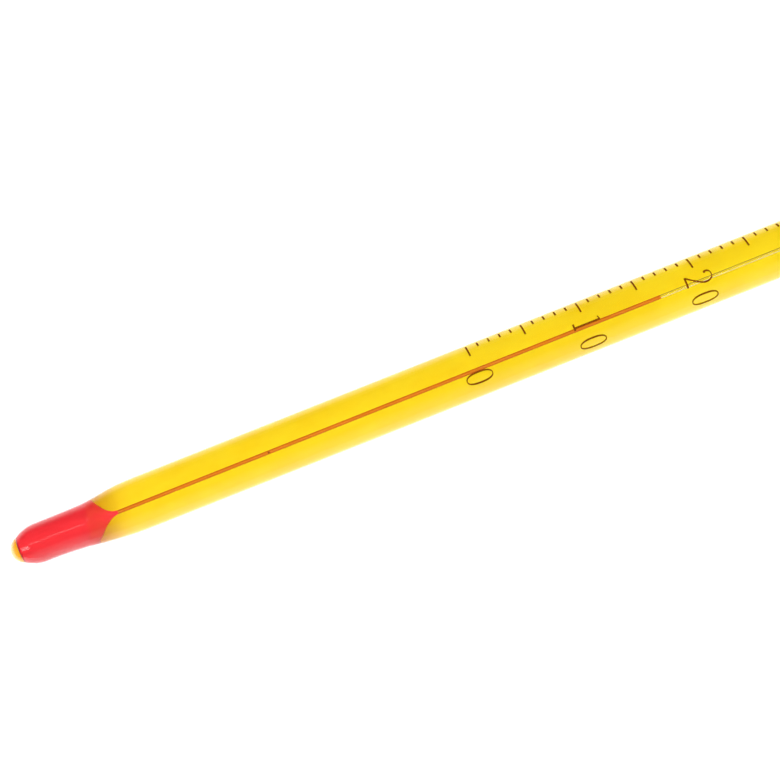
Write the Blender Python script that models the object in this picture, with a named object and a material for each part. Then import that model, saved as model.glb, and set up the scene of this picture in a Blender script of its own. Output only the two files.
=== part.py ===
"""Spirit-in-glass thermometer for photographic baths.

The thermometer lies on its yellow enamelled back. +X runs from the bulb's tip to the
sealed top, +Z points out through the side that is read, and the origin is on the
table, under the middle of the length. Every piece is built on the stem's axis, with x
counted from the bulb's tip, under an empty that stands on the axis at the tip.
"""

import math

import bmesh
import bpy
from mathutils import Matrix, Vector

MM = 0.001

# Glass
LENGTH = 155.0 * MM
STEM_DIAMETER = 6.0 * MM
BORE_DIAMETER = 0.28 * MM
BULB_DIAMETER = 4.47 * MM  # near its tip; the drawn tube widens a little towards the stem
BULB_MOUTH_DIAMETER = 4.76 * MM  # where the bulb is fused to the stem
BULB_WALL = 0.42 * MM
BULB_LENGTH = 9.0 * MM  # tip to the fused joint
SHOULDER_LENGTH = 6.6 * MM  # fused joint to the stem's full diameter
FUNNEL_LENGTH = 4.2 * MM  # fused joint to the start of the plain bore
FUNNEL_SHARPNESS = 1.25
TOP_RADIUS = 2.4 * MM  # rounding of the sealed top end
CHAMBER_DIAMETER = 1.3 * MM  # expansion chamber above the scale
CHAMBER_LENGTH = 5.0 * MM
CHAMBER_TO_TOP = 9.0 * MM

# Tip of the bulb
BEAD_DIAMETER = 3.04 * MM
BEAD_LENGTH = 1.10 * MM
BULB_ROUNDING = 2.3 * MM  # length of the rounded end beside the bead
BULB_FLOOR = 0.08 * MM  # glass between the bead and the spirit
TIP_WALL = 0.22 * MM  # the wall is blown thin beside the bead
HOLLOW_CORNER = 0.35 * MM  # rounding of the hollow at its floor

# The bulb is fused on by hand
BULB_LEAN = 0.07 * MM  # how far to +y the bulb's tip half stands off the stem's axis
JOINT_SKEW = 0.24  # the joint is askew: x gained for each unit towards +y
JOINT_REACH = 4.0 * MM  # how far up and down the stem that shows

# Enamel
ENAMEL_THICKNESS = 0.28 * MM
ENAMEL_FACETS = 15  # of the stem's sides
ENAMEL_FROM_JOINT = 0.8 * MM
ENAMEL_TOP_MARGIN = 4.0 * MM  # bare glass at the sealed top
RECESS_REACH = 1.0 * MM  # how far the tool that cuts the recess stands out of the glass

# Scale, in degrees Celsius
SCALE_MAX = 50
LONG_TICK_EVERY = 5
NUMERAL_EVERY = 10
READING = 16.7  # where the spirit stands at rest
ZERO_FROM_TIP = 55.87 * MM
DEGREE = 1.3115 * MM
DEGREE_GROWTH = 0.00067 * MM  # spirit expands a little faster as it warms

# Print, with widths counted round the glass from the line over the bore
INK_THICKNESS = 0.03 * MM
TICK_SKEW = 0.06  # the lines lean: x gained for each unit round the glass
TICK_WIDTH = 0.20 * MM
TICK_START = -3.56 * MM
LONG_TICK = 1.78 * MM
LABEL_CENTRE = 0.86 * MM
NUMERAL_PITCH = 2.40 * MM
NUMERAL_HEIGHT = 3.12 * MM
NUMERAL_WIDTH = 1.44 * MM
THICK_STROKE = 0.21 * MM
THIN_STROKE = 0.12 * MM
OVAL_SQUARENESS = 2.4  # of the zero; 2 is an ellipse
BALL_RADIUS = 0.14 * MM
PRINT_STEP = 0.29 * MM  # longest flat across the glass before a stroke is bent

# Clearances
FUSED_GAP = 0.05 * MM  # between pieces of glass, enamel and spirit that meet end to end
WETTED_GAP = 0.02 * MM  # between spirit or enamel and the glass round it
INK_GAP = 0.015 * MM

MENISCUS_LENGTH = 0.8 * MM
MENISCUS_DEPTH = 0.10 * MM

# Steps of the round shapes
SIDES = 32
CURVE_STEPS = 8
TUBE_STEPS = 4
CAP_STEPS = 6
DISH_STEPS = 3
SPAN_STEPS = 3
OVAL_STEPS = 32
BALL_SIDES = 12
SHARP_ANGLE = math.radians(35)
MERGE = 0.001 * MM
FLAT_TO_CORNER = 1.0 / math.cos(math.pi / SIDES)

STEM_RADIUS = STEM_DIAMETER / 2
BORE_RADIUS = BORE_DIAMETER / 2
MOUTH_RADIUS = BULB_MOUTH_DIAMETER / 2 - BULB_WALL
BULB_BODY = BEAD_LENGTH + BULB_ROUNDING  # where the rounded end runs into the tube
HOLLOW_START = BEAD_LENGTH + BULB_FLOOR
NECK = BULB_LENGTH + FUNNEL_LENGTH  # where the plain bore starts
SHOULDER_END = BULB_LENGTH + SHOULDER_LENGTH
CHAMBER_END = LENGTH - CHAMBER_TO_TOP
ENAMEL_START = BULB_LENGTH + ENAMEL_FROM_JOINT
ENAMEL_END = LENGTH - ENAMEL_TOP_MARGIN
INK_RADIUS = STEM_RADIUS * FLAT_TO_CORNER + INK_GAP


# ---------------------------------------------------------------- shapes on the axis


def ease(s):
    """0 to 1 with level ends."""
    return (1 - math.cos(math.pi * min(max(s, 0), 1))) / 2


def stations(start, end, steps=CURVE_STEPS):
    return [start + (end - start) * i / steps for i in range(steps + 1)]


def bulb_radius(x):
    """Outside radius of the glass between the bead and the full stem."""
    if x < BULB_BODY:
        s = (x - BEAD_LENGTH) / BULB_ROUNDING
        return (BEAD_DIAMETER + (BULB_DIAMETER - BEAD_DIAMETER) * (1 - (1 - s) ** 2)) / 2
    if x < BULB_LENGTH:
        s = (x - BULB_BODY) / (BULB_LENGTH - BULB_BODY)
        return (BULB_DIAMETER + (BULB_MOUTH_DIAMETER - BULB_DIAMETER) * s**2) / 2
    s = min((x - BULB_LENGTH) / SHOULDER_LENGTH, 1)
    return (BULB_MOUTH_DIAMETER + (STEM_DIAMETER - BULB_MOUTH_DIAMETER) * math.sin(math.pi / 2 * s)) / 2


def hollow_radius(x):
    """Inside radius of the bulb, from its floor to the fused joint."""
    wall = TIP_WALL + (BULB_WALL - TIP_WALL) * min((x - HOLLOW_START) / BULB_ROUNDING, 1)
    corner = min((x - HOLLOW_START) / HOLLOW_CORNER, 1)
    return (bulb_radius(x) - wall) * math.sqrt(1 - (1 - corner) ** 2)


def funnel_radius(x):
    """Radius of the hollow where the bulb narrows into the bore."""
    s = (x - BULB_LENGTH) / FUNNEL_LENGTH
    return BORE_RADIUS + (MOUTH_RADIUS - BORE_RADIUS) * (1 - ease(s)) ** FUNNEL_SHARPNESS


def hollow_stations(end):
    """Stations of the bulb's hollow, close together at its floor."""
    corner = [HOLLOW_START + HOLLOW_CORNER * (1 - math.cos(t)) for t in stations(0, math.pi / 2, CAP_STEPS)]
    rounding = stations(corner[-1], HOLLOW_START + BULB_ROUNDING, TUBE_STEPS)
    return corner[:-1] + rounding[:-1] + stations(rounding[-1], end, TUBE_STEPS)


def rounded_end():
    """Quarter circle from the side of the sealed top to its nearly flat middle, as (x, r) points."""
    flat = STEM_RADIUS - TOP_RADIUS
    turns = stations(0, math.pi / 2, CAP_STEPS)
    side = [(LENGTH - TOP_RADIUS * (1 - math.sin(t)), flat + TOP_RADIUS * math.cos(t)) for t in turns]
    return side + [(LENGTH, 0)]


def lathe(profile, closed=False):
    """Mesh of (x, r) points turned once round the X axis. r is measured to the flats.

    A closed profile's last point is joined to its first. No edge runs along the axis itself.
    """
    bm = bmesh.new()
    half_side = Matrix.Rotation(math.pi / SIDES, 3, "X")
    verts = [bm.verts.new(half_side @ Vector((x, 0, r * FLAT_TO_CORNER))) for x, r in profile]
    following = range(1, len(profile) + 1 if closed else len(profile))
    edges = []
    for i in following:
        j = i % len(profile)
        if profile[i - 1][1] or profile[j][1]:
            edges.append(bm.edges.new((verts[i - 1], verts[j])))
    bmesh.ops.spin(
        bm,
        geom=verts + edges,
        cent=(0, 0, 0),
        axis=(1, 0, 0),
        angle=2 * math.pi,
        steps=SIDES,
        use_merge=True,
    )
    bmesh.ops.remove_doubles(bm, verts=bm.verts, dist=MERGE)
    bmesh.ops.recalc_face_normals(bm, faces=bm.faces)
    return bm


def sector_shell(xs, outer, inner, half_angle, facets):
    """Mesh of a shell round the back of the axis, between two radii that are functions of x."""
    bm = bmesh.new()
    angles = [math.pi + half_angle * (2 * i / facets - 1) for i in range(facets + 1)]
    rings = []
    for x in xs:
        ring = [(outer(x), a) for a in angles] + [(inner(x), a) for a in reversed(angles)]
        rings.append([bm.verts.new((x, -r * math.sin(a), r * math.cos(a))) for r, a in ring])
    for near, far in zip(rings, rings[1:]):
        for i in range(len(near)):
            j = (i + 1) % len(near)
            bm.faces.new((near[i], near[j], far[j], far[i]))
    last = 2 * facets + 1
    for ring in (rings[0], rings[-1]):
        for i in range(facets):
            bm.faces.new((ring[i], ring[i + 1], ring[last - i - 1], ring[last - i]))
    bmesh.ops.recalc_face_normals(bm, faces=bm.faces)
    return bm


def fused_by_hand(bm):
    """Sets the bulb a little to one side and its joint askew, in the same way for all that meet there."""
    for v in bm.verts:
        lean = ease((BULB_LENGTH - v.co.x) / (BULB_LENGTH / 2))
        skew = 1 - ease(abs(v.co.x - ENAMEL_START) / JOINT_REACH)
        v.co.x += JOINT_SKEW * skew * v.co.y
        v.co.y += BULB_LEAN * lean
    return bm


# ---------------------------------------------------------------- objects


def material(name, colour, roughness, transmission=0.0):
    mat = bpy.data.materials.new(name)
    mat.use_nodes = True
    shader = mat.node_tree.nodes["Principled BSDF"]
    shader.inputs["Base Color"].default_value = (*colour, 1)
    shader.inputs["Roughness"].default_value = roughness
    shader.inputs["Transmission Weight"].default_value = transmission
    return mat


def place(name, bm, mat, parent, offset=0.0):
    """An object made from the bmesh, with its origin on the axis at `offset` from its parent's."""
    bmesh.ops.translate(bm, vec=(-offset, 0, 0), verts=bm.verts)
    mesh = bpy.data.meshes.new(name)
    bm.to_mesh(mesh)
    bm.free()
    mesh.shade_smooth()
    mesh.set_sharp_from_angle(angle=SHARP_ANGLE)
    obj = bpy.data.objects.new(name, mesh)
    obj.data.materials.append(mat)
    obj.parent = parent
    obj.location = (offset, 0, 0)
    bpy.context.scene.collection.objects.link(obj)
    return obj


def empty(name, location, parent=None):
    obj = bpy.data.objects.new(name, None)
    obj.location = location
    obj.parent = parent
    bpy.context.scene.collection.objects.link(obj)
    return obj


# ---------------------------------------------------------------- glass, enamel and spirit


def stem_glass_shape():
    """Clear rod from the fused joint to the sealed top, with the funnel, the bore and the chamber in it."""
    shoulder = [(x, bulb_radius(x)) for x in stations(BULB_LENGTH, SHOULDER_END)]
    chamber_start = CHAMBER_END - CHAMBER_LENGTH
    hollow = []
    for x in stations(CHAMBER_END, chamber_start):
        s = (x - chamber_start) / CHAMBER_LENGTH
        swell = math.sqrt(max(0.0, math.sin(math.pi * s)))
        base = 0 if s == 1 else BORE_RADIUS
        hollow.append((x, max(base, CHAMBER_DIAMETER / 2 * swell)))
    funnel = [(x, funnel_radius(x)) for x in stations(NECK, BULB_LENGTH)]
    return shoulder + rounded_end() + hollow + funnel


def build_glass(axis):
    """Clear glass: the stem, and the tube of the bulb that is fused to it."""
    glass = material("clear_glass", (0.93, 0.96, 0.95), 0.02, 1.0)
    stem = place("stem_glass", fused_by_hand(lathe(stem_glass_shape(), closed=True)), glass, axis)

    tip = BEAD_LENGTH + FUSED_GAP
    joint = BULB_LENGTH - FUSED_GAP
    rounding = stations(tip, BULB_BODY)
    outside = [(x, bulb_radius(x)) for x in rounding[:-1] + stations(BULB_BODY, joint, TUBE_STEPS)]
    inside = [(x, hollow_radius(x)) for x in reversed(hollow_stations(joint))]
    place("bulb_glass", fused_by_hand(lathe([(tip, 0)] + outside + inside)), glass, axis)
    return stem


def build_bead(axis):
    """Bead of amber glass that closes the bulb's tip: a cap of a sphere with a flat back."""
    amber = material("amber_glass", (0.95, 0.60, 0.08), 0.1)
    rim = BEAD_DIAMETER / 2
    sphere = (rim**2 + BEAD_LENGTH**2) / (2 * BEAD_LENGTH)
    opening = math.asin(min(rim / sphere, 1))
    cap = [(sphere * (1 - math.cos(t)), sphere * math.sin(t)) for t in stations(0, opening, CAP_STEPS)]
    place("bulb_tip_bead", fused_by_hand(lathe(cap + [(BEAD_LENGTH, 0)])), amber, axis)


def enamel_radius(x):
    """Radius to the corners of the enamel's outer face, flush with the glass."""
    return bulb_radius(x) * FLAT_TO_CORNER


def enamel_floor(x):
    """Radius to the corners of the enamel's inner face."""
    return (bulb_radius(x) - ENAMEL_THICKNESS) * FLAT_TO_CORNER


def build_enamel(axis, stem):
    """Yellow enamel fired into the back of the stem, and the recess in the glass that it fills."""
    yellow = material("yellow_enamel", (0.98, 0.66, 0.02), 0.3)
    half_angle = math.pi / SIDES * ENAMEL_FACETS
    xs = stations(ENAMEL_START + FUSED_GAP, SHOULDER_END) + [ENAMEL_END - FUSED_GAP]
    shell = sector_shell(xs, enamel_radius, enamel_floor, half_angle, ENAMEL_FACETS)
    place("enamel_back", fused_by_hand(shell), yellow, axis)

    cut = sector_shell(
        stations(ENAMEL_START, SHOULDER_END) + [ENAMEL_END],
        lambda x: enamel_radius(x) + RECESS_REACH,
        lambda x: enamel_floor(x) - WETTED_GAP,
        half_angle + WETTED_GAP / STEM_RADIUS,
        ENAMEL_FACETS,
    )
    cutter = place("enamel_recess", fused_by_hand(cut), yellow, axis)
    cutter.hide_render = True
    cutter.display_type = "WIRE"
    recess = stem.modifiers.new("enamel_recess", "BOOLEAN")
    recess.operation = "DIFFERENCE"
    recess.solver = "EXACT"
    recess.object = cutter


def reading_x(celsius):
    """Distance from the bulb's tip of a temperature on the scale."""
    return ZERO_FROM_TIP + DEGREE * celsius + DEGREE_GROWTH * celsius**2


def build_spirit(axis):
    """Red spirit: the bulb's filling stays, the thread and its meniscus slide in the bore."""
    red = material("red_spirit", (0.80, 0.01, 0.02), 0.15)
    filling = [(HOLLOW_START + WETTED_GAP, 0)]
    for x in hollow_stations(BULB_LENGTH - WETTED_GAP)[1:]:
        filling.append((x + WETTED_GAP, hollow_radius(x) - WETTED_GAP))
    filling += [(x, funnel_radius(x) - WETTED_GAP) for x in stations(BULB_LENGTH, NECK)[1:]]
    place("bulb_spirit", fused_by_hand(lathe(filling + [(NECK, 0)])), red, axis)

    top = reading_x(READING)
    bottom = top - MENISCUS_LENGTH
    radius = BORE_RADIUS - WETTED_GAP
    slide = empty("spirit_slide", (top, 0, 0), axis)
    foot, head = NECK + FUSED_GAP, bottom - FUSED_GAP
    thread = lathe([(foot, 0), (foot, radius), (head, radius), (head, 0)])
    dish = [(top - MENISCUS_DEPTH * (1 - s * s), radius * s) for s in stations(1, 0, DISH_STEPS)]
    meniscus = lathe([(bottom, 0), (bottom, radius)] + dish)
    for name, bm in (("spirit_thread", thread), ("spirit_meniscus", meniscus)):
        bmesh.ops.translate(bm, vec=(-top, 0, 0), verts=bm.verts)
        place(name, bm, red, slide)


# ---------------------------------------------------------------- printed scale

# Strokes of each numeral: a runs from -1 to 1 across it, b from 0 to 1 up it. "bars" are
# heavy strokes whichever way they run, and "balls" are the round ends of hairlines. Zero
# is an oval and has no strokes.
NUMERALS = {
    "1": {
        "strokes": [[(0.12, 0), (0.12, 1)], [(-0.48, 0.93), (0.16, 0.985)]],
        "bars": [[(-0.60, 0.02), (0.56, 0.02)]],
        "balls": [],
    },
    "2": {
        "strokes": [
            [(-0.80, 0.76), (-0.80, 0.86), (-0.50, 0.95), (0, 0.975), (0.56, 0.94), (0.90, 0.79),
             (0.84, 0.61), (0.42, 0.43), (-0.12, 0.25), (-0.88, 0.03)],
        ],
        "bars": [[(-0.92, 0.03), (0.92, 0.03)]],
        "balls": [(-0.73, 0.765)],
    },
    "3": {
        "strokes": [
            [(-0.78, 0.79), (-0.74, 0.87), (-0.44, 0.96), (0.02, 0.975), (0.56, 0.92), (0.74, 0.77),
             (0.50, 0.60), (-0.16, 0.535)],
            [(-0.16, 0.535), (0.50, 0.49), (0.92, 0.29), (0.66, 0.09), (0.04, 0.025), (-0.52, 0.05),
             (-0.84, 0.14), (-0.86, 0.23)],
        ],
        "bars": [],
        "balls": [(-0.70, 0.785), (-0.77, 0.235)],
    },
    "4": {
        "strokes": [
            [(0.36, 0), (0.36, 1)],
            [(0.34, 0.97), (-0.92, 0.30)],
            [(-0.96, 0.28), (0.94, 0.28)],
        ],
        "bars": [[(-0.10, 0.02), (0.82, 0.02)]],
        "balls": [],
    },
    "5": {
        "strokes": [
            [(-0.62, 0.98), (-0.70, 0.50)],
            [(-0.70, 0.50), (-0.34, 0.595), (0.20, 0.62), (0.80, 0.51), (0.92, 0.31), (0.68, 0.10),
             (0.04, 0.025), (-0.50, 0.05), (-0.82, 0.14), (-0.84, 0.21)],
        ],
        "bars": [[(-0.66, 0.96), (0.78, 0.975)]],
        "balls": [(-0.75, 0.215)],
    },
}


def smooth(points):
    """The points joined by a Catmull-Rom curve."""
    if len(points) == 2:
        return [Vector(p) for p in points]
    pts = [Vector(p) for p in points]
    ends = [2 * pts[0] - pts[1]] + pts + [2 * pts[-1] - pts[-2]]
    curve = [pts[0]]
    for p0, p1, p2, p3 in zip(ends, ends[1:], ends[2:], ends[3:]):
        for i in range(1, SPAN_STEPS + 1):
            t = i / SPAN_STEPS
            curve.append(
                0.5 * (2 * p1 + (p2 - p0) * t + (2 * p0 - 5 * p1 + 4 * p2 - p3) * t**2
                       + (3 * p1 - p0 - 3 * p2 + p3) * t**3)
            )
    return curve


def thicken(bm, faces):
    """Gives flat faces the thickness of the ink."""
    top = bmesh.ops.extrude_face_region(bm, geom=faces)["geom"]
    lifted = [g for g in top if isinstance(g, bmesh.types.BMVert)]
    bmesh.ops.translate(bm, vec=(0, 0, INK_THICKNESS), verts=lifted)
    bmesh.ops.recalc_face_normals(bm, faces=bm.faces)
    return bm


def drawn(a, b):
    """Place in the numeral, in metres from its middle."""
    return Vector((a * (NUMERAL_WIDTH - THIN_STROKE) / 2, (b - 0.5) * NUMERAL_HEIGHT))


def stroke_plate(points, thin=THIN_STROKE):
    """A pen stroke along the points, thick where it runs up the numeral and `thin` across it."""
    path = smooth([drawn(a, b) for a, b in points])
    bm = bmesh.new()
    rails = []
    for i, p in enumerate(path):
        along = (path[min(i + 1, len(path) - 1)] - path[max(i - 1, 0)]).normalized()
        width = thin + (THICK_STROKE - thin) * along.y**2
        side = Vector((-along.y, along.x)) * width / 2
        rails.append((bm.verts.new((*(p + side), 0)), bm.verts.new((*(p - side), 0))))
    faces = [bm.faces.new((a, b, d, c)) for (a, b), (c, d) in zip(rails, rails[1:])]
    return thicken(bm, faces)


def ball_plate(centre):
    """The round end of a hairline."""
    bm = bmesh.new()
    where = Matrix.Translation((*drawn(*centre), 0))
    bmesh.ops.create_circle(bm, cap_ends=True, segments=BALL_SIDES, radius=BALL_RADIUS, matrix=where)
    return thicken(bm, bm.faces[:])


def oval_point(half, turn):
    """Point of a squared ellipse."""
    c, s = math.cos(turn), math.sin(turn)
    power = 2 / OVAL_SQUARENESS
    return (math.copysign(half.x * abs(c) ** power, c), math.copysign(half.y * abs(s) ** power, s), 0)


def oval_plate():
    """The zero: the room between two squared ellipses, thick at its sides and thin at its ends."""
    bm = bmesh.new()
    half = Vector((NUMERAL_WIDTH / 2, NUMERAL_HEIGHT / 2))
    hole = half - Vector((THICK_STROKE, THIN_STROKE))
    turns = stations(0, 2 * math.pi, OVAL_STEPS)[:-1]
    rings = [[bm.verts.new(oval_point(size, t)) for t in turns] for size in (half, hole)]
    faces = []
    for i in range(len(turns)):
        j = (i + 1) % len(turns)
        faces.append(bm.faces.new((rings[0][i], rings[0][j], rings[1][j], rings[1][i])))
    return thicken(bm, faces)


def fused(plates):
    """The plates of one numeral made one solid."""
    objs = []
    for plate in plates:
        mesh = bpy.data.meshes.new("plate")
        plate.to_mesh(mesh)
        plate.free()
        objs.append(bpy.data.objects.new("plate", mesh))
        bpy.context.scene.collection.objects.link(objs[-1])
    for other in objs[1:]:
        join = objs[0].modifiers.new("join", "BOOLEAN")
        join.operation = "UNION"
        join.solver = "EXACT"
        join.object = other
    bpy.context.view_layer.update()
    whole = objs[0].evaluated_get(bpy.context.evaluated_depsgraph_get())
    bm = bmesh.new()
    bm.from_mesh(whole.to_mesh())
    whole.to_mesh_clear()
    for obj in objs:
        mesh = obj.data
        bpy.data.objects.remove(obj)
        bpy.data.meshes.remove(mesh)
    return bm


def wrapped(bm, x, round_glass, skew=0.0):
    """Bends a flat print onto the glass, with its middle `round_glass` from the line over the bore."""
    lowest = min(v.co.x for v in bm.verts)
    highest = max(v.co.x for v in bm.verts)
    cuts = math.ceil((highest - lowest) / PRINT_STEP)
    for i in range(1, cuts):
        at = (lowest + (highest - lowest) * i / cuts, 0, 0)
        everything = bm.verts[:] + bm.edges[:] + bm.faces[:]
        bmesh.ops.bisect_plane(bm, geom=everything, dist=MERGE, plane_co=at, plane_no=(1, 0, 0))
    bmesh.ops.triangulate(bm, faces=bm.faces[:])
    for v in bm.verts:
        across = round_glass + v.co.x
        turn = across / STEM_RADIUS
        radius = INK_RADIUS + v.co.z
        v.co = (x + v.co.y + skew * across, -radius * math.sin(turn), radius * math.cos(turn))
    return bm


def tick_plate(length):
    """A scale line: a plain bar across the glass."""
    bm = bmesh.new()
    bar = Matrix.Diagonal((length, TICK_WIDTH, 1, 1))
    bmesh.ops.create_grid(bm, x_segments=1, y_segments=1, size=0.5, matrix=bar)
    return thicken(bm, bm.faces[:])


def numeral_plate(digit):
    if digit == "0":
        return oval_plate()
    shape = NUMERALS[digit]
    strokes = [stroke_plate(points) for points in shape["strokes"]]
    bars = [stroke_plate(points, THICK_STROKE) for points in shape["bars"]]
    return fused(strokes + bars + [ball_plate(centre) for centre in shape["balls"]])


def build_print(axis):
    """Long scale lines and numerals. The short lines between them are a finish, not parts."""
    ink = material("brown_black_ink", (0.03, 0.012, 0.004), 0.45)
    for celsius in range(0, SCALE_MAX + 1, LONG_TICK_EVERY):
        bar = wrapped(tick_plate(LONG_TICK), reading_x(celsius), TICK_START + LONG_TICK / 2, TICK_SKEW)
        place(f"scale_line_{celsius:02d}", bar, ink, axis)
    for celsius in range(0, SCALE_MAX + 1, NUMERAL_EVERY):
        digits = str(celsius)
        for i, digit in enumerate(digits):
            across = LABEL_CENTRE + (i - (len(digits) - 1) / 2) * NUMERAL_PITCH
            shape = wrapped(numeral_plate(digit), reading_x(celsius), across)
            column = ["ones", "tens"][len(digits) - 1 - i]
            place(f"numeral_{celsius:02d}_{column}", shape, ink, axis)


def main():
    for obj in list(bpy.data.objects):
        bpy.data.objects.remove(obj)
    axis = empty("stem_axis", (-LENGTH / 2, 0, STEM_RADIUS))
    stem = build_glass(axis)
    build_enamel(axis, stem)
    build_bead(axis)
    build_spirit(axis)
    build_print(axis)


main()
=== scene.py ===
"""Looks of a spirit-in-glass thermometer for photographic baths.

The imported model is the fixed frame. Lengths here are in metres unless a name ends in _mm.
x runs up the stem from the bulb's tip, z out through the side that is read, and the
thermometer lies on its yellow back.
"""

import logging
import math
from dataclasses import dataclass
from enum import Enum
from typing import Sequence

import bmesh
import bpy
from mathutils import Matrix, Vector


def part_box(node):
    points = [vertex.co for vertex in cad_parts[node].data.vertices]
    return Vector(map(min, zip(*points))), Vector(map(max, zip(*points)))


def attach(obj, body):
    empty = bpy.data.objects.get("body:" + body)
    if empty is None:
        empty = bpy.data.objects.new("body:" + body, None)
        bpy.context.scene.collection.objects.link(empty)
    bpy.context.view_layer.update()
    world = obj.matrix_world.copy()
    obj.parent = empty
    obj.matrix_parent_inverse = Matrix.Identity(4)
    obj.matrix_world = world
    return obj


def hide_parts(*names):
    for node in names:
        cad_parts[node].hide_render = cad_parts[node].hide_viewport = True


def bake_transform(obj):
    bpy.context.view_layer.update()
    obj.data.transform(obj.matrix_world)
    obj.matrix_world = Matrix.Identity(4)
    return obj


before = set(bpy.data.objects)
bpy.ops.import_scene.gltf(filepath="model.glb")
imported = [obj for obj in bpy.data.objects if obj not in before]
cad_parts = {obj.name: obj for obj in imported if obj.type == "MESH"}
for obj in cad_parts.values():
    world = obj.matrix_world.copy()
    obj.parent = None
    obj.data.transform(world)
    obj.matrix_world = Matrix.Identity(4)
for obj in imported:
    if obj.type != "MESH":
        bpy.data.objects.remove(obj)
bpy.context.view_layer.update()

MM = 0.001
WELD = 0.0001 * MM
Colour = tuple[float, float, float, float]
Profile = list[tuple[float, float]]
Span = tuple[float, float]

log = logging.getLogger("thermometer")


class Body(Enum):
    """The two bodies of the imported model."""

    GLASS = "glass"
    SPIRIT = "spirit"


class Slot(Enum):
    """The record's material slots."""

    CLEAR_GLASS = "clear_glass"
    AMBER_GLASS = "amber_glass"
    ENAMEL = "yellow_enamel"
    SPIRIT = "red_spirit"
    INK = "scale_ink"


# ---------------------------------------------------------------- colour and node helpers


def srgb(code: str) -> Colour:
    """Turn an sRGB hex colour into linear RGBA.

    Args:
        code: Six hex digits, such as "FFD822".

    Returns:
        The linear colour with an alpha of 1.
    """
    # the curve of the sRGB standard
    channels = [int(code[i : i + 2], 16) / 255 for i in (0, 2, 4)]
    linear = [c / 12.92 if c <= 0.04045 else ((c + 0.055) / 1.055) ** 2.4 for c in channels]
    return (*linear, 1.0)


def add_node(
    tree: bpy.types.NodeTree,
    kind: str,
    inputs: dict | None = None,
    stops: Sequence[tuple[float, Colour]] = (),
    **settings,
) -> bpy.types.Node:
    """Add one node with its settings, and its input values or links.

    Args:
        tree: The node tree to add to.
        kind: The node's type name.
        inputs: Input name or index to a value, or to the output socket that feeds it.
        stops: Position and colour of a colour ramp's first stop and of its last.
        **settings: Properties set on the node itself.

    Returns:
        The new node.
    """
    made = tree.nodes.new(kind)
    for key, value in settings.items():
        setattr(made, key, value)
    for key, value in (inputs or {}).items():
        if isinstance(value, bpy.types.NodeSocket):
            tree.links.new(value, made.inputs[key])
        else:
            made.inputs[key].default_value = value
    for i, (position, colour) in enumerate(stops):
        made.color_ramp.elements[i].position = position
        made.color_ramp.elements[i].color = colour
    return made


def grey(value: float) -> Colour:
    """A linear grey."""
    return (value, value, value, 1.0)


# ---------------------------------------------------------------- finishes


@dataclass(frozen=True)
class Finish:
    """What every finish has: a real material's name and how its surface answers light."""

    name: str
    roughness: float = 0.3
    ior: float = 1.5

    def start(self) -> tuple[bpy.types.Material, bpy.types.NodeTree, bpy.types.Node]:
        """Make the material with its shader's plain values set.

        Returns:
            The material, its node tree and its Principled shader.
        """
        material = bpy.data.materials.new(self.name)
        material.use_nodes = True
        tree = material.node_tree
        shader = tree.nodes["Principled BSDF"]
        shader.inputs["Roughness"].default_value = self.roughness
        shader.inputs["IOR"].default_value = self.ior
        return material, tree, shader


@dataclass(frozen=True)
class DrawnGlass(Finish):
    """Clear soda-lime glass, drawn as a rod and fire-polished: smooth, with faint lengthwise draw lines."""

    name: str = "soda_lime_glass_drawn"
    roughness: float = 0.0
    ior: float = 1.52
    tint: str = "FAFCFB"
    squeeze: float = 0.025
    draw_line_mm: float = 0.9
    draw_detail: float = 2.0
    draw_depth_mm: float = 0.0008
    draw_strength: float = 0.5

    def material(self) -> bpy.types.Material:
        """Build the glass.

        Returns:
            The material.
        """
        material, tree, shader = self.start()
        shader.inputs["Base Color"].default_value = srgb(self.tint)
        shader.inputs["Transmission Weight"].default_value = 1.0
        place = add_node(tree, "ShaderNodeTexCoord").outputs["Object"]
        # squeezed along the stem, so that the lines run lengthwise, as the draw leaves them
        lined = add_node(tree, "ShaderNodeMapping", {"Vector": place, "Scale": (self.squeeze, 1.0, 1.0)})
        wave = add_node(
            tree,
            "ShaderNodeTexNoise",
            {
                "Vector": lined.outputs["Vector"],
                "Scale": 1 / (self.draw_line_mm * MM),
                "Detail": self.draw_detail,
            },
        )
        bump = add_node(
            tree,
            "ShaderNodeBump",
            {
                "Height": wave.outputs["Fac"],
                "Distance": self.draw_depth_mm * MM,
                "Strength": self.draw_strength,
            },
        )
        tree.links.new(bump.outputs["Normal"], shader.inputs["Normal"])
        return material


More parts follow.
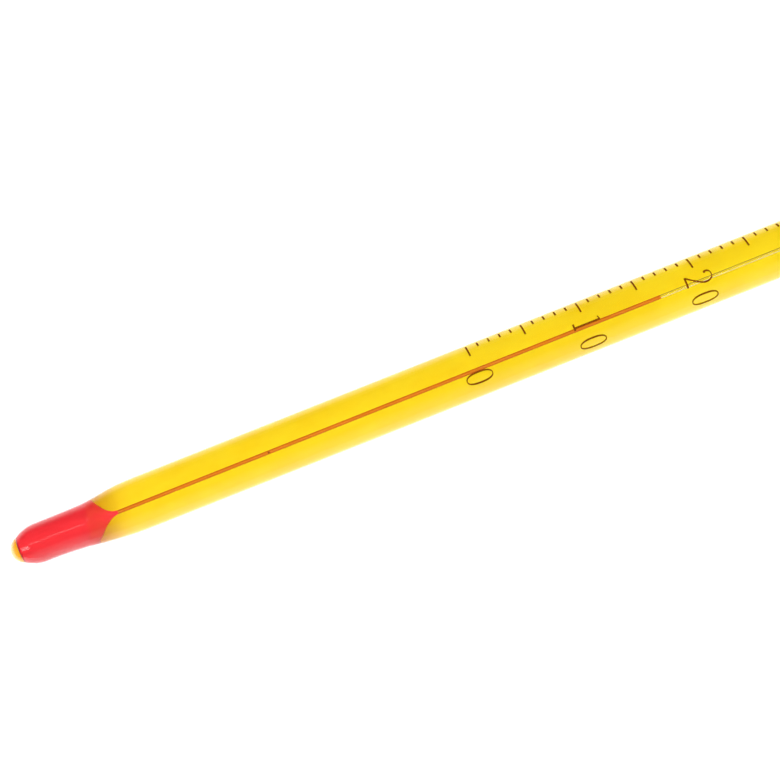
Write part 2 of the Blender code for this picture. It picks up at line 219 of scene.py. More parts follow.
@dataclass(frozen=True)
class FiredEnamel(Finish):
    """Opaque cadmium-yellow enamel fused into the glass: without gloss of its own, and faintly cloudy.

    Glass over a diffuse ground deepens its colour, so the enamel itself is paler than it looks.
    """

    name: str = "cadmium_yellow_enamel"
    roughness: float = 0.9
    ior: float = 1.52
    body: str = "FBE228"
    deep: str = "F9DA1E"
    # painted light: warmer and a little brighter than the body, to offset the shade near the fused joint
    joint: str = "FFE02A"
    gloss_level: float = 0.0
    cloud_mm: float = 3.5
    cloud_detail: float = 4.0
    streak_mm: float = 0.5
    streak_detail: float = 3.0
    squeeze: float = 0.12
    cloudiness: Span = (0.14, 0.34)
    relief_mm: float = 0.002
    relief_strength: float = 0.4

    def material(self, start: float, painted_lift_ends: float) -> bpy.types.Material:
        """Build the enamel.

        Args:
            start: Where the enamel starts, at the fused joint. It is painted warmer and a little brighter
                there, to offset the shade near the joint.
            painted_lift_ends: Where it has its plain colour.

        Returns:
            The material.
        """
        material, tree, shader = self.start()
        shader.inputs["Specular IOR Level"].default_value = self.gloss_level
        place = add_node(tree, "ShaderNodeTexCoord").outputs["Object"]
        drawn = add_node(tree, "ShaderNodeMapping", {"Vector": place, "Scale": (self.squeeze, 1.0, 1.0)})
        cloud = add_node(
            tree,
            "ShaderNodeTexNoise",
            {
                "Vector": drawn.outputs["Vector"],
                "Scale": 1 / (self.cloud_mm * MM),
                "Detail": self.cloud_detail,
            },
        )
        streak = add_node(
            tree,
            "ShaderNodeTexNoise",
            {
                "Vector": drawn.outputs["Vector"],
                "Scale": 1 / (self.streak_mm * MM),
                "Detail": self.streak_detail,
            },
        )
        both = add_node(
            tree, "ShaderNodeMath", {0: cloud.outputs["Fac"], 1: streak.outputs["Fac"]}, operation="MULTIPLY"
        )
        low, high = self.cloudiness
        plain = add_node(
            tree,
            "ShaderNodeValToRGB",
            {"Fac": both.outputs["Value"]},
            stops=[(low, srgb(self.deep)), (high, srgb(self.body))],
        )
        parts = add_node(tree, "ShaderNodeSeparateXYZ", {"Vector": place})
        along = add_node(
            tree,
            "ShaderNodeMapRange",
            {"Value": parts.outputs["X"], "From Min": start, "From Max": painted_lift_ends},
            interpolation_type="SMOOTHSTEP",
        )
        # painted light: towards the joint the colour turns to the joint's warmer, brighter one, against the
        # shade there
        colour = add_node(
            tree,
            "ShaderNodeMixRGB",
            {"Fac": along.outputs["Result"], "Color1": srgb(self.joint), "Color2": plain.outputs["Color"]},
        )
        tree.links.new(colour.outputs["Color"], shader.inputs["Base Color"])
        bump = add_node(
            tree,
            "ShaderNodeBump",
            {
                "Height": streak.outputs["Fac"],
                "Distance": self.relief_mm * MM,
                "Strength": self.relief_strength,
            },
        )
        tree.links.new(bump.outputs["Normal"], shader.inputs["Normal"])
        return material


@dataclass(frozen=True)
class DyedSpirit(Finish):
    """Red-dyed spirit that wets its glass: a strong red with a slight drift in depth of dye, and painted
    shade that darkens it towards its sides.

    Its index is close to the glass's, so little light is reflected where the two meet.
    """

    name: str = "red_dyed_spirit"
    roughness: float = 0.06
    ior: float = 1.36
    # middle is the lit colour; edge is the painted shade towards the sides
    middle: str = "FF3A42"
    edge: str = "F5303A"
    half_width: float = 2.0 * MM
    drift_mm: float = 2.0
    drift_detail: float = 2.0
    drift_share: float = 0.25
    lit_middle_to_shaded_edge: Span = (0.3, 1.0)

    def material(self) -> bpy.types.Material:
        """Build the spirit.

        Returns:
            The material.
        """
        material, tree, shader = self.start()
        place = add_node(tree, "ShaderNodeTexCoord").outputs["Object"]
        parts = add_node(tree, "ShaderNodeSeparateXYZ", {"Vector": place})
        # painted shade: darker towards the sides, by the distance from the middle across the width
        across = add_node(tree, "ShaderNodeMath", {0: parts.outputs["Y"]}, operation="ABSOLUTE")
        share = add_node(
            tree, "ShaderNodeMath", {0: across.outputs["Value"], 1: self.half_width}, operation="DIVIDE"
        )
        drift = add_node(
            tree,
            "ShaderNodeTexNoise",
            {"Vector": place, "Scale": 1 / (self.drift_mm * MM), "Detail": self.drift_detail},
        )
        dye_drift_and_side_shade = add_node(
            tree,
            "ShaderNodeMath",
            {0: drift.outputs["Fac"], 1: self.drift_share, 2: share.outputs["Value"]},
            operation="MULTIPLY_ADD",
        )
        # the drift is the dye's own; the step from middle to edge is painted shade
        low, high = self.lit_middle_to_shaded_edge
        colour = add_node(
            tree,
            "ShaderNodeValToRGB",
            {"Fac": dye_drift_and_side_shade.outputs["Value"]},
            stops=[(low, srgb(self.middle)), (high, srgb(self.edge))],
        )
        tree.links.new(colour.outputs["Color"], shader.inputs["Base Color"])
        return material


@dataclass(frozen=True)
class AmberBead(Finish):
    """Amber glass melted on as a drop: glossy, and deeper in colour where it is thick."""

    name: str = "amber_glass_melted"
    roughness: float = 0.08
    ior: float = 1.52
    tip: str = "F8D070"
    root: str = "F0A418"
    root_starts: float = 0.9
    cloudiness: float = 0.4
    cloud_reach: tuple[float, float, float] = (1.0, 0.5, 0.1)
    cloud_mm: float = 0.5
    gloss: float = 0.6
    gloss_roughness: float = 0.03

    def material(self, tip_x: float, length: float) -> bpy.types.Material:
        """Build the amber glass.

        Args:
            tip_x: Where the bead ends, at the bulb's tip.
            length: The bead's length along the stem.

        Returns:
            The material.
        """
        material, tree, shader = self.start()
        place = add_node(tree, "ShaderNodeTexCoord").outputs["Object"]
        parts = add_node(tree, "ShaderNodeSeparateXYZ", {"Vector": place})
        depth = add_node(
            tree,
            "ShaderNodeMapRange",
            {"Value": parts.outputs["X"], "From Min": tip_x, "From Max": tip_x + length},
        )
        colour = add_node(
            tree,
            "ShaderNodeValToRGB",
            {"Fac": depth.outputs["Result"]},
            stops=[(0.0, srgb(self.tip)), (self.root_starts, srgb(self.root))],
        )
        tree.links.new(colour.outputs["Color"], shader.inputs["Base Color"])
        shader.inputs["Subsurface Weight"].default_value = self.cloudiness
        shader.inputs["Subsurface Radius"].default_value = self.cloud_reach
        shader.inputs["Subsurface Scale"].default_value = self.cloud_mm * MM
        shader.inputs["Coat Weight"].default_value = self.gloss
        shader.inputs["Coat Roughness"].default_value = self.gloss_roughness
        return material


@dataclass(frozen=True)
class FiredInk(Finish):
    """Brown ceramic ink, printed and fired: nearly matt, a little thin and warm in places."""

    name: str = "ceramic_ink_fired"
    roughness: float = 0.5
    ior: float = 1.5
    gloss_level: float = 0.05
    full: str = "6E3400"
    thin: str = "A05C08"
    speckle_mm: float = 0.12
    speckle_detail: float = 3.0
    full_to_thin: Span = (0.45, 0.75)
    smoother: float = 0.12
    rougher: float = 0.2

    def material(self) -> bpy.types.Material:
        """Build the ink.

        Returns:
            The material.
        """
        material, tree, shader = self.start()
        shader.inputs["Specular IOR Level"].default_value = self.gloss_level
        place = add_node(tree, "ShaderNodeTexCoord").outputs["Object"]
        speckle = add_node(
            tree,
            "ShaderNodeTexNoise",
            {"Vector": place, "Scale": 1 / (self.speckle_mm * MM), "Detail": self.speckle_detail},
        )
        low, high = self.full_to_thin
        colour = add_node(
            tree,
            "ShaderNodeValToRGB",
            {"Fac": speckle.outputs["Fac"]},
            stops=[(low, srgb(self.full)), (high, srgb(self.thin))],
        )
        tree.links.new(colour.outputs["Color"], shader.inputs["Base Color"])
        rough = add_node(
            tree,
            "ShaderNodeMapRange",
            {
                "Value": speckle.outputs["Fac"],
                "To Min": self.roughness - self.smoother,
                "To Max": self.roughness + self.rougher,
            },
        )
        tree.links.new(rough.outputs["Result"], shader.inputs["Roughness"])
        return material


# ---------------------------------------------------------------- mesh helpers


@dataclass(frozen=True)
class Axis:
    """The stem's axis: a line along x at one height, with the bulb's tip as its start."""

    tip_x: float
    height: float

    def lathe(
        self, profile: Profile, sides: int, start: float = 0.0, turn: float = 2 * math.pi
    ) -> bmesh.types.BMesh:
        """Turn a profile round the axis.

        Args:
            profile: Points (x from the tip, radius), from the tip upwards on the outside.
            sides: Number of steps in the turn.
            start: Where the turn starts, from straight up towards +y.
            turn: How far to turn.

        Returns:
            The turned mesh, in place.
        """
        bm = bmesh.new()
        spot = Matrix.Rotation(-start, 3, "X")
        points = [bm.verts.new(spot @ Vector((x, 0, r))) for x, r in profile]
        edges = []
        for i in range(1, len(profile)):
            if profile[i - 1][1] or profile[i][1]:
                edges.append(bm.edges.new((points[i - 1], points[i])))
        full = math.isclose(turn, 2 * math.pi)
        bmesh.ops.spin(
            bm,
            geom=points + edges,
            cent=(0, 0, 0),
            axis=(-1, 0, 0),
            angle=turn,
            steps=sides,
            use_merge=full,
        )
        bmesh.ops.remove_doubles(bm, verts=bm.verts, dist=WELD)
        bmesh.ops.translate(bm, verts=bm.verts, vec=(self.tip_x, 0, self.height))
        return bm


def make_piece(
    name: str, bm: bmesh.types.BMesh, material: bpy.types.Material, sharp_deg: float = 40.0
) -> bpy.types.Object:
    """Store a finished mesh as an object at the origin, smooth except at its sharp edges.

    Args:
        name: The object's name.
        bm: The mesh, which is freed.
        material: Its finish.
        sharp_deg: Edges that bend more than this stay sharp.

    Returns:
        The object.
    """
    mesh = bpy.data.meshes.new(name)
    bm.to_mesh(mesh)
    bm.free()
    mesh.shade_smooth()
    mesh.set_sharp_from_angle(angle=math.radians(sharp_deg))
    mesh.materials.append(material)
    piece = bpy.data.objects.new(name, mesh)
    bpy.context.scene.collection.objects.link(piece)
    return piece


def add_mesh(bm: bmesh.types.BMesh, other: bmesh.types.BMesh) -> None:
    """Move one mesh into another.

    Args:
        bm: The mesh that grows.
        other: The mesh that is added, and freed.
    """
    carrier = bpy.data.meshes.new("carrier")
    other.to_mesh(carrier)
    other.free()
    bm.from_mesh(carrier)
    bpy.data.meshes.remove(carrier)


def face_outwards(bm: bmesh.types.BMesh) -> None:
    """Recalculate a closed mesh's normals."""
    bmesh.ops.recalc_face_normals(bm, faces=bm.faces)


def ease(s: float) -> float:
    """0 to 1 with level ends."""
    return (1 - math.cos(math.pi * min(max(s, 0.0), 1.0))) / 2


def spaced(start: float, end: float, steps: int) -> list[float]:
    """Evenly spaced values from start to end, both included."""
    return [start + (end - start) * i / steps for i in range(steps + 1)]


# ---------------------------------------------------------------- the glass and what it holds


@dataclass
class Envelope:
    """Outline of the glass, shared by all that sits in or on it.

    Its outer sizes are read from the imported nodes. The others are the values that those were
    built with, apart from the tighter corner at the bulb's floor. Every x is counted from the
    bulb's tip.
    """

    axis: Axis
    length: float
    stem_radius: float
    bead_radius: float
    bead_length: float
    bore_radius: float = 0.14 * MM
    joint_x: float = 9.0 * MM
    bulb_radius: float = 2.235 * MM
    mouth_radius: float = 2.38 * MM
    bulb_rounding: float = 2.3 * MM
    bulb_wall: float = 0.42 * MM
    tip_wall: float = 0.22 * MM
    floor: float = 0.08 * MM
    hollow_corner: float = 0.14 * MM
    shoulder: float = 6.6 * MM
    funnel: float = 4.2 * MM
    funnel_sharpness: float = 1.25
    top_rounding: float = 2.4 * MM
    lean: float = 0.07 * MM
    skew: float = 0.24
    skew_middle: float = 9.8 * MM
    skew_reach: float = 4.0 * MM

    @classmethod
    def from_frame(cls) -> "Envelope":
        """Read the outline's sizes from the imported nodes' boxes.

        Returns:
            The outline.
        """
        stem_low, stem_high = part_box("stem_glass")
        enamel_low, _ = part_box("enamel_back")
        bead_low, bead_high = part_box("bulb_tip_bead")
        radius = (stem_high.y - stem_low.y) / 2
        return cls(
            axis=Axis(tip_x=bead_low.x, height=enamel_low.z + radius),
            length=stem_high.x - bead_low.x,
            stem_radius=radius,
            bead_radius=(bead_high.z - bead_low.z) / 2,
            bead_length=bead_high.x - bead_low.x,
        )

    @property
    def neck_x(self) -> float:
        """Where the plain bore starts."""
        return self.joint_x + self.funnel

    @property
    def shoulder_x(self) -> float:
        """Where the stem has its full radius."""
        return self.joint_x + self.shoulder

    def outside(self, x: float) -> float:
        """Outside radius of the glass.

        Args:
            x: Distance from the bulb's tip, past the bead.

        Returns:
            The radius there.
        """
        body = self.bead_length + self.bulb_rounding
        if x < body:
            s = (x - self.bead_length) / self.bulb_rounding
            return self.bead_radius + (self.bulb_radius - self.bead_radius) * (1 - (1 - s) ** 2)
        if x < self.joint_x:
            s = (x - body) / (self.joint_x - body)
            return self.bulb_radius + (self.mouth_radius - self.bulb_radius) * s**2
        s = min((x - self.joint_x) / self.shoulder, 1.0)
        return self.mouth_radius + (self.stem_radius - self.mouth_radius) * math.sin(math.pi / 2 * s)

    def bulb_inside(self, x: float) -> float:
        """Inside radius of the bulb.

        Args:
            x: Distance from the bulb's tip, up to the fused joint.

        Returns:
            The radius there, 0 at the bulb's floor.
        """
        past = x - self.bead_length - self.floor
        wall = self.tip_wall + (self.bulb_wall - self.tip_wall) * min(past / self.bulb_rounding, 1.0)
        corner = min(max(past / self.hollow_corner, 0.0), 1.0)
        return (self.outside(x) - wall) * math.sqrt(1 - (1 - corner) ** 2)

    def funnel_inside(self, x: float) -> float:
        """Radius of the neck where the bulb narrows into the bore.

        Args:
            x: Distance from the bulb's tip, past the fused joint.

        Returns:
            The radius there.
        """
        s = (x - self.joint_x) / self.funnel
        wide = self.mouth_radius - self.bulb_wall - self.bore_radius
        return self.bore_radius + wide * (1 - ease(s)) ** self.funnel_sharpness

    def fused_by_hand(self, bm: bmesh.types.BMesh) -> bmesh.types.BMesh:
        """Set the bulb a little to one side and its joint askew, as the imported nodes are.

        Args:
            bm: A mesh in place, which is changed.

        Returns:
            The same mesh.
        """
        for v in bm.verts:
            x = v.co.x - self.axis.tip_x
            v.co.x += self.skew * (1 - ease(abs(x - self.skew_middle) / self.skew_reach)) * v.co.y
            v.co.y += self.lean * ease((self.joint_x - x) / (self.joint_x / 2))
        return bm


@dataclass
class Glassware:
    """The clear glass of stem and bulb, fused in one, with the bore and its expansion chamber."""

    envelope: Envelope
    finish: DrawnGlass
    chamber_radius: float = 0.65 * MM
    chamber_length: float = 5.0 * MM
    chamber_to_top: float = 9.0 * MM
    sides: int = 128
    bore_sides: int = 32
    bulb_steps: int = 20
    tube_steps: int = 16
    shoulder_steps: int = 32
    plain_steps: int = 24
    top_steps: int = 16
    sharp_deg: float = 60.0

    def outline(self) -> Profile:
        """Outside of the glass, from behind the bead's face to the sealed top.

        Returns:
            The profile's points.
        """
        e = self.envelope
        body = e.bead_length + e.bulb_rounding
        start = e.bead_length
        rounded = spaced(start, body, self.bulb_steps)
        tube = spaced(body, e.joint_x, self.tube_steps)[1:]
        shoulder = spaced(e.joint_x, e.shoulder_x, self.shoulder_steps)[1:]
        plain = spaced(e.shoulder_x, e.length - e.top_rounding, self.plain_steps)[1:-1]
        points = [(start, 0.0)]
        points += [(x, e.outside(x)) for x in rounded + tube + shoulder + plain]
        flat = e.stem_radius - e.top_rounding
        for t in spaced(0, math.pi / 2, self.top_steps):
            x = e.length - e.top_rounding * (1 - math.sin(t))
            points.append((x, flat + e.top_rounding * math.cos(t)))
        return points + [(e.length, 0.0)]

    def hollow(self) -> Profile:
        """The bore and the chamber, from the neck to the chamber's closed end.

        Returns:
            The profile's points.
        """
        e = self.envelope
        end = e.length - self.chamber_to_top
        start = end - self.chamber_length
        points = [(e.neck_x, 0.0)] + [(x, e.bore_radius) for x in spaced(e.neck_x, start, self.plain_steps)]
        for x in spaced(start, end, self.plain_steps)[1:-1]:
            swell = math.sqrt(math.sin(math.pi * (x - start) / self.chamber_length))
            points.append((x, max(e.bore_radius, self.chamber_radius * swell)))
        return points + [(end, 0.0)]

    def build(self) -> bpy.types.Object:
        """Model the glass.

        Returns:
            The piece.
        """
        e = self.envelope
        bm = e.fused_by_hand(e.axis.lathe(self.outline(), self.sides))
        face_outwards(bm)
        bore = e.fused_by_hand(e.axis.lathe(self.hollow(), self.bore_sides))
        face_outwards(bore)
        bmesh.ops.reverse_faces(bore, faces=bore.faces)
        add_mesh(bm, bore)
        piece = make_piece("fused_glass", bm, self.finish.material(), self.sharp_deg)
        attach(piece, Body.GLASS.value)
        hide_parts("stem_glass", "bulb_glass")
        return piece


@dataclass
class EnamelBack:
    """The yellow enamel fused into the rear of the stem, under a thin skin of clear glass."""

    envelope: Envelope
    finish: FiredEnamel
    skin: float = 0.03 * MM
    thickness: float = 0.30 * MM
    half_angle: float = math.radians(84.4)
    # how far past the shoulder the painted lift near the joint fades out
    painted_lift_fades_in: float = 3.0 * MM
    sides: int = 96
    shoulder_steps: int = 28
    plain_steps: int = 24

    def build(self) -> bpy.types.Object:
        """Model the enamel as a shell turned part of the way round the back.

        Returns:
            The piece.
        """
        e = self.envelope
        start = e.skew_middle
        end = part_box("enamel_back")[1].x - e.axis.tip_x
        xs = spaced(start, e.shoulder_x, self.shoulder_steps)
        xs += spaced(e.shoulder_x, end, self.plain_steps)[1:]
        outer = [(x, e.outside(x) - self.skin) for x in xs]
        inner = [(x, e.outside(x) - self.thickness) for x in reversed(xs)]
        section = outer + inner + outer[:1]
        bm = e.axis.lathe(section, self.sides, math.pi - self.half_angle, 2 * self.half_angle)
        bmesh.ops.holes_fill(bm, edges=[edge for edge in bm.edges if edge.is_boundary], sides=0)
        e.fused_by_hand(bm)
        face_outwards(bm)
        painted_lift_ends = e.shoulder_x + self.painted_lift_fades_in
        material = self.finish.material(e.axis.tip_x + start, e.axis.tip_x + painted_lift_ends)
        piece = make_piece("enamel", bm, material)
        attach(piece, Body.GLASS.value)
        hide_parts("enamel_back")
        return piece


@dataclass
class Bulb:
    """The bulb's filling of red spirit and the amber bead that closes its tip."""

    envelope: Envelope
    spirit: DyedSpirit
    amber: AmberBead
    melt: float = 0.04 * MM
    sides: int = 96
    corner_steps: int = 12
    tube_steps: int = 32
    neck_steps: int = 40
    bead_steps: int = 20

    def build_filling(self) -> bpy.types.Object:
        """Model the spirit in the bulb and in the neck.

        Returns:
            The piece.
        """
        e = self.envelope
        floor = e.bead_length + e.floor
        turns = spaced(0, math.pi / 2, self.corner_steps)
        corner = [floor + e.hollow_corner * (1 - math.cos(t)) for t in turns]
        tube = spaced(corner[-1], e.joint_x, self.tube_steps)[1:]
        neck = spaced(e.joint_x, e.neck_x, self.neck_steps)[1:]
        points = [(x, e.bulb_inside(x)) for x in corner + tube]
        points += [(x, e.funnel_inside(x)) for x in neck]
        bm = e.fused_by_hand(e.axis.lathe(points + [(e.neck_x, 0.0)], self.sides))
        face_outwards(bm)
        piece = make_piece("spirit_in_bulb", bm, self.spirit.material())
        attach(piece, Body.GLASS.value)
        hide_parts("bulb_spirit")
        return piece

    def build_bead(self) -> bpy.types.Object:
        """Model the bead as a cap of a sphere, its root melted into the glass.

        Returns:
            The piece.
        """
        e = self.envelope
        rim, depth = e.bead_radius, e.bead_length
        sphere = (rim**2 + depth**2) / (2 * depth)
        opening = math.asin(min(rim / sphere, 1.0))
        turns = spaced(0, opening, self.bead_steps)
        cap = [(sphere * (1 - math.cos(t)), sphere * math.sin(t)) for t in turns]
        melted_in = depth + self.melt
        root = [(melted_in, rim - self.melt), (melted_in, 0.0)]
        bm = e.fused_by_hand(e.axis.lathe(cap + root, self.sides))
        face_outwards(bm)
        piece = make_piece("amber_bead", bm, self.amber.material(e.axis.tip_x, depth))
        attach(piece, Body.GLASS.value)
        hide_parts("bulb_tip_bead")
        return piece


@dataclass
class Column:
    """The thread of spirit in the bore and the meniscus at its top."""

    envelope: Envelope
    finish: DyedSpirit
    wetting: float = 0.004 * MM
    lap: float = 0.3 * MM
    dish: float = 0.10 * MM
    sides: int = 32
    steps: int = 80
    dish_steps: int = 6

    def build(self) -> bpy.types.Object:
        """Model the column in one piece, which stretches between the bulb's neck and the meniscus.

        Returns:
            The piece.
        """
        e = self.envelope
        low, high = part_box("spirit_meniscus")
        top, foot = high.x - e.axis.tip_x, low.x - e.axis.tip_x
        radius = e.bore_radius + self.wetting
        start = e.neck_x - self.lap
        points = [(start, 0.0)] + [(x, radius) for x in spaced(start, foot, self.steps)]
        for s in spaced(1.0, 0.0, self.dish_steps):
            points.append((top - self.dish * (1 - s * s), radius * s))
        bm = e.axis.lathe(points, self.sides)
        face_outwards(bm)
        piece = make_piece("spirit_column", bm, self.finish.material())
        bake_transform(piece)
        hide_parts("spirit_thread", "spirit_meniscus")
        return piece


@dataclass
class PrintedScale:
    """The fired print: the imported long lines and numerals, and the short lines between them."""

    envelope: Envelope
    finish: FiredInk
    highest: int = 50
    long_every: int = 5
    tick_start: float = -3.56 * MM
    long_tick: float = 1.78 * MM
    short_tick: float = 0.79 * MM
    tick_width: float = 0.20 * MM
    tick_cuts: int = 4
    skew: float = 0.06
    lift: float = 0.03 * MM
    thickness: float = 0.03 * MM
    spot_x: float = 31.1 * MM
    spot_radius: float = 0.13 * MM
    spot_height: float = 0.025 * MM
    spot_squash: float = 0.8
    spot_rounds: int = 3

    def line_x(self, celsius: int) -> float:
        """Find where a packed long line, drawn on, would cross the line over the bore.

        Args:
            celsius: The degree that the line stands for.

        Returns:
            The x of the crossing.
        """
        low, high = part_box(f"scale_line_{celsius:02d}")
        return (low.x + high.x) / 2 - self.skew * (self.tick_start + self.long_tick / 2)

    def short_line(self, x: float) -> bmesh.types.BMesh:
        """One short line, bent round the glass.

        Args:
            x: Where the line over the bore would meet it.

        Returns:
            The line's mesh.
        """
        bm = bmesh.new()
        e = self.envelope
        bar = Matrix.Diagonal((self.short_tick / 2, self.tick_width / 2, self.thickness / 2, 1))
        bmesh.ops.create_cube(bm, size=2.0, matrix=bar)
        longer = self.short_tick / 2
        bent = [edge for edge in bm.edges if abs(edge.verts[0].co.x - edge.verts[1].co.x) > longer]
        bmesh.ops.subdivide_edges(bm, edges=bent, cuts=self.tick_cuts, use_grid_fill=True)
        for v in bm.verts:
            round_glass = self.tick_start + self.short_tick / 2 + v.co.x
            angle = round_glass / e.stem_radius
            radius = e.stem_radius + self.lift + self.thickness / 2 + v.co.z
            v.co = (
                x + v.co.y + self.skew * round_glass,
                -radius * math.sin(angle),
                e.axis.height + radius * math.cos(angle),
            )
        face_outwards(bm)
        return bm

    def build_stray_spot(self, ink: bpy.types.Material) -> bpy.types.Object:
        """Leave the one small spot of ink that sits over the bore, well below the scale.

        Args:
            ink: The scale's ink.

        Returns:
            The spot.
        """
        e = self.envelope
        flat = Matrix.Diagonal((1.0, self.spot_squash, self.spot_height / self.spot_radius, 1.0))
        top = e.axis.height + e.stem_radius + self.lift
        place = Matrix.Translation((e.axis.tip_x + self.spot_x, 0.0, top))
        bm = bmesh.new()
        bmesh.ops.create_icosphere(
            bm, subdivisions=self.spot_rounds, radius=self.spot_radius, matrix=place @ flat
        )
        piece = make_piece("stray_ink_spot", bm, ink)
        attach(piece, Body.GLASS.value)
        return piece

    def build(self) -> list[bpy.types.Object]:
        """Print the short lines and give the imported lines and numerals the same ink.

        Returns:
            The short lines and the stray spot.
        """
        ink = self.finish.material()
        lines = []
        for celsius in range(self.highest):
            below = celsius - celsius % self.long_every
            if celsius == below:
                continue
            share = (celsius - below) / self.long_every
            x = self.line_x(below) * (1 - share) + self.line_x(below + self.long_every) * share
            piece = make_piece(f"short_line_{celsius:02d}", self.short_line(x), ink)
            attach(piece, Body.GLASS.value)
            lines.append(piece)
        lines.append(self.build_stray_spot(ink))
        for name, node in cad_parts.items():
            if name.startswith(("scale_line_", "numeral_")):
                for slot in node.material_slots:
                    slot.material = ink
        return lines


# ---------------------------------------------------------------- studio


@dataclass(frozen=True)
class SoftBox:
    """A soft box that faces the thermometer, seen in the spirit but not in the outer glass.

    Its place is from the thermometer's middle, its size along the stem and across, and its
    radiance against 1 for white.
    """

    name: str
    place: tuple[float, float, float]
    size: tuple[float, float]
    radiance: float

    def hang(self) -> bpy.types.Object:
        """Hang the box.

        Returns:
            The light.
        """
        box = bpy.data.lights.new(self.name, "AREA")
        box.shape = "RECTANGLE"
        box.size, box.size_y = self.size
        box.energy = self.radiance * math.pi * box.size * box.size_y
        light = bpy.data.objects.new(self.name, box)
        light.location = self.place
        back = Vector(self.place).normalized()
        across = back.cross(Vector((1.0, 0.0, 0.0))).normalized()
        along = across.cross(back)
        light.rotation_euler = Matrix((along, across, back)).transposed().to_euler()
        light.visible_glossy = False
        bpy.context.scene.collection.objects.link(light)
        return light


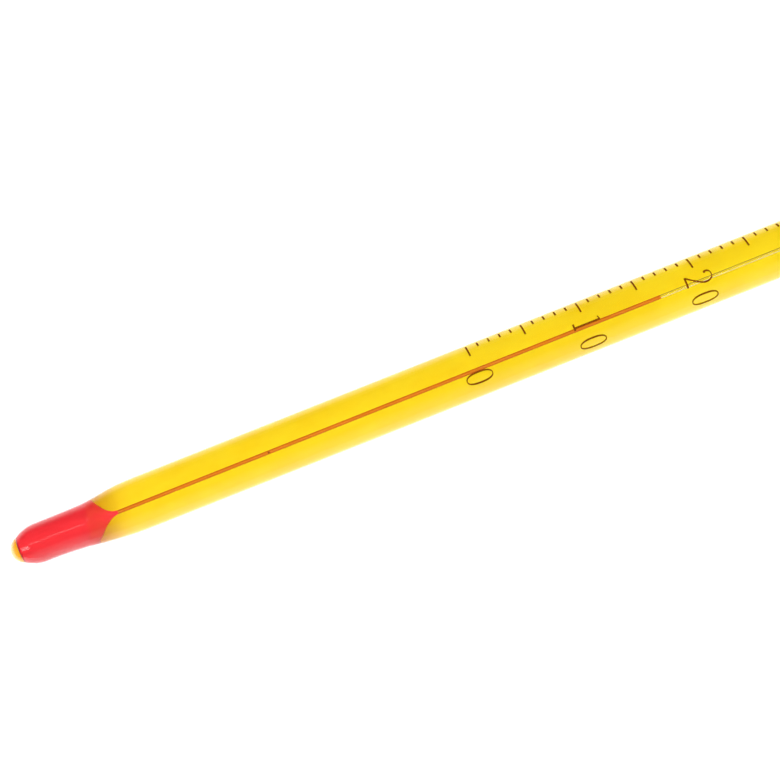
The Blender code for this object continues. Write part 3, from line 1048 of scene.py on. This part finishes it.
@dataclass
class Studio:
    """A white light table in a white room, three soft boxes, and the camera over the bulb's half.

    The table and the room look plain white. What the glass mirrors of them, and how they light
    the enamel, runs from one level to another over a span, each given as (from, to).
    """

    envelope: Envelope
    lens_mm: float = 100.0
    sensor_mm: float = 36.0
    nearest_seen: float = 10 * MM
    view_width: float = 87.3 * MM
    rise_deg: float = 21.65
    aim_from_tip: float = 46.1 * MM
    aim_aside: float = 1.475 * MM
    table_reach: float = 2.0
    table_squares: int = 2
    table_grey: float = 0.1
    table_roughness: float = 0.8
    table_side_y: Span = (22 * MM, 3 * MM)
    table_side_levels: Span = (0.1, 1.4)
    table_end_x: Span = (35 * MM, 65 * MM)
    table_end_levels: Span = (1.0, 0.45)
    sheen_y: Span = (-0.55, -1.0)
    sheen_levels: Span = (0.05, 1.0)
    fill_y: Span = (1.0, -1.0)
    fill_levels: Span = (1.65, 1.02)
    room_level: float = 0.7
    white: float = 1.0
    boxes: tuple[SoftBox, ...] = (
        SoftBox("strip_over_stem", (0.0, 0.10, 0.5), (0.5, 0.04), 6.0),
        SoftBox("box_over_tip", (-0.45, -0.03, 0.48), (0.32, 0.24), 8.0),
        SoftBox("box_over_stem_end", (0.55, 0.09, 0.25), (0.30, 0.12), 8.0),
    )

    def build_camera(self) -> bpy.types.Object:
        """Look straight down, with the stem rising to the right.

        Returns:
            The camera.
        """
        e = self.envelope
        data = bpy.data.cameras.new("camera")
        data.lens = self.lens_mm
        data.sensor_width = self.sensor_mm
        data.clip_start = self.nearest_seen
        camera = bpy.data.objects.new("camera", data)
        away = self.view_width * self.lens_mm / self.sensor_mm
        camera.location = (e.axis.tip_x + self.aim_from_tip, self.aim_aside, e.axis.height + away)
        camera.rotation_euler = (0.0, 0.0, -math.radians(self.rise_deg))
        bpy.context.scene.collection.objects.link(camera)
        bpy.context.scene.camera = camera
        return camera

    def build_table(self) -> bpy.types.Object:
        """Lay the white table, lit from below so that it shows no shadow.

        Returns:
            The table top.
        """
        material = bpy.data.materials.new("opal_acrylic_light_table")
        material.use_nodes = True
        tree = material.node_tree
        shader = tree.nodes["Principled BSDF"]
        shader.inputs["Base Color"].default_value = grey(self.table_grey)
        shader.inputs["Roughness"].default_value = self.table_roughness
        shader.inputs["Emission Color"].default_value = grey(self.white)
        place = add_node(tree, "ShaderNodeTexCoord").outputs["Object"]
        parts = add_node(tree, "ShaderNodeSeparateXYZ", {"Vector": place})
        # mirrored in the glass, the table is bright on the numerals' side and fades out behind the lines
        side = add_node(
            tree,
            "ShaderNodeMapRange",
            {
                "Value": parts.outputs["Y"],
                "From Min": self.table_side_y[0],
                "From Max": self.table_side_y[1],
                "To Min": self.table_side_levels[0],
                "To Max": self.table_side_levels[1],
            },
        )
        # and it is dimmer under the sealed end, so that the clear glass there stands out
        end = add_node(
            tree,
            "ShaderNodeMapRange",
            {
                "Value": parts.outputs["X"],
                "From Min": self.table_end_x[0],
                "From Max": self.table_end_x[1],
                "To Min": self.table_end_levels[0],
                "To Max": self.table_end_levels[1],
            },
        )
        mirrored = add_node(
            tree,
            "ShaderNodeMath",
            {0: side.outputs["Result"], 1: end.outputs["Result"]},
            operation="MULTIPLY",
        )
        path = add_node(tree, "ShaderNodeLightPath")
        strength = add_node(
            tree,
            "ShaderNodeMix",
            {"Factor": path.outputs["Is Camera Ray"], "A": mirrored.outputs["Value"], "B": self.white},
        )
        tree.links.new(strength.outputs["Result"], shader.inputs["Emission Strength"])
        bm = bmesh.new()
        squares = self.table_squares
        bmesh.ops.create_grid(bm, x_segments=squares, y_segments=squares, size=self.table_reach)
        table = make_piece("table", bm, material)
        return table

    def build_room(self) -> bpy.types.World:
        """Light the room: plain white to the camera, and a sheen from the numerals' side in the glass.

        The glass shows its sheen along that side only. The enamel is lit through the glass, a
        little more from the side of the scale lines.

        Returns:
            The room.
        """
        world = bpy.data.worlds.new("room")
        world.use_nodes = True
        tree = world.node_tree
        direction = add_node(tree, "ShaderNodeTexCoord").outputs["Generated"]
        parts = add_node(tree, "ShaderNodeSeparateXYZ", {"Vector": direction})
        sheen = add_node(
            tree,
            "ShaderNodeMapRange",
            {
                "Value": parts.outputs["Y"],
                "From Min": self.sheen_y[0],
                "From Max": self.sheen_y[1],
                "To Min": self.sheen_levels[0],
                "To Max": self.sheen_levels[1],
            },
        )
        fill = add_node(
            tree,
            "ShaderNodeMapRange",
            {
                "Value": parts.outputs["Y"],
                "From Min": self.fill_y[0],
                "From Max": self.fill_y[1],
                "To Min": self.fill_levels[0],
                "To Max": self.fill_levels[1],
            },
        )
        path = add_node(tree, "ShaderNodeLightPath")
        lit = add_node(
            tree,
            "ShaderNodeMix",
            {
                "Factor": path.outputs["Is Transmission Ray"],
                "A": self.room_level,
                "B": fill.outputs["Result"],
            },
        )
        # mirrored in the glass or the spirit, and not on its way to a matt surface
        mirrored = add_node(
            tree,
            "ShaderNodeMath",
            {0: path.outputs["Is Glossy Ray"], 1: path.outputs["Diffuse Depth"]},
            operation="GREATER_THAN",
        )
        seen = add_node(
            tree,
            "ShaderNodeMix",
            {"Factor": mirrored.outputs["Value"], "A": lit.outputs["Result"], "B": sheen.outputs["Result"]},
        )
        strength = add_node(
            tree,
            "ShaderNodeMix",
            {"Factor": path.outputs["Is Camera Ray"], "A": seen.outputs["Result"], "B": self.white},
        )
        background = tree.nodes["Background"]
        background.inputs["Color"].default_value = grey(self.white)
        tree.links.new(strength.outputs["Result"], background.inputs["Strength"])
        bpy.context.scene.world = world
        return world

    def build_lights(self) -> list[bpy.types.Object]:
        """Hang every soft box.

        Returns:
            The lights.
        """
        return [box.hang() for box in self.boxes]


def main() -> None:
    """Build every sub-assembly in order and report each piece."""
    logging.basicConfig(level=logging.INFO, format="%(message)s")
    envelope = Envelope.from_frame()
    studio = Studio(envelope)
    log.info("camera %s", studio.build_camera().name)
    log.info("glass %s", Glassware(envelope, DrawnGlass()).build().name)
    log.info("enamel %s", EnamelBack(envelope, FiredEnamel()).build().name)
    bulb = Bulb(envelope, DyedSpirit(), AmberBead())
    log.info("filling %s", bulb.build_filling().name)
    log.info("bead %s", bulb.build_bead().name)
    # the thread's sides are painted darker and redder than its middle: painted shade, as in the bulb's
    # spirit
    thread = DyedSpirit(
        name="red_dyed_spirit_thread", middle="DC7E16", edge="CE5A12", half_width=envelope.bore_radius
    )
    log.info("column %s", Column(envelope, thread).build().name)
    for piece in PrintedScale(envelope, FiredInk()).build():
        log.info("print %s", piece.name)
    log.info("table %s", studio.build_table().name)
    log.info("world %s", studio.build_room().name)
    for light in studio.build_lights():
        log.info("light %s", light.name)
    bpy.context.scene.view_settings.view_transform = "Standard"


if __name__ == "__main__":
    main()
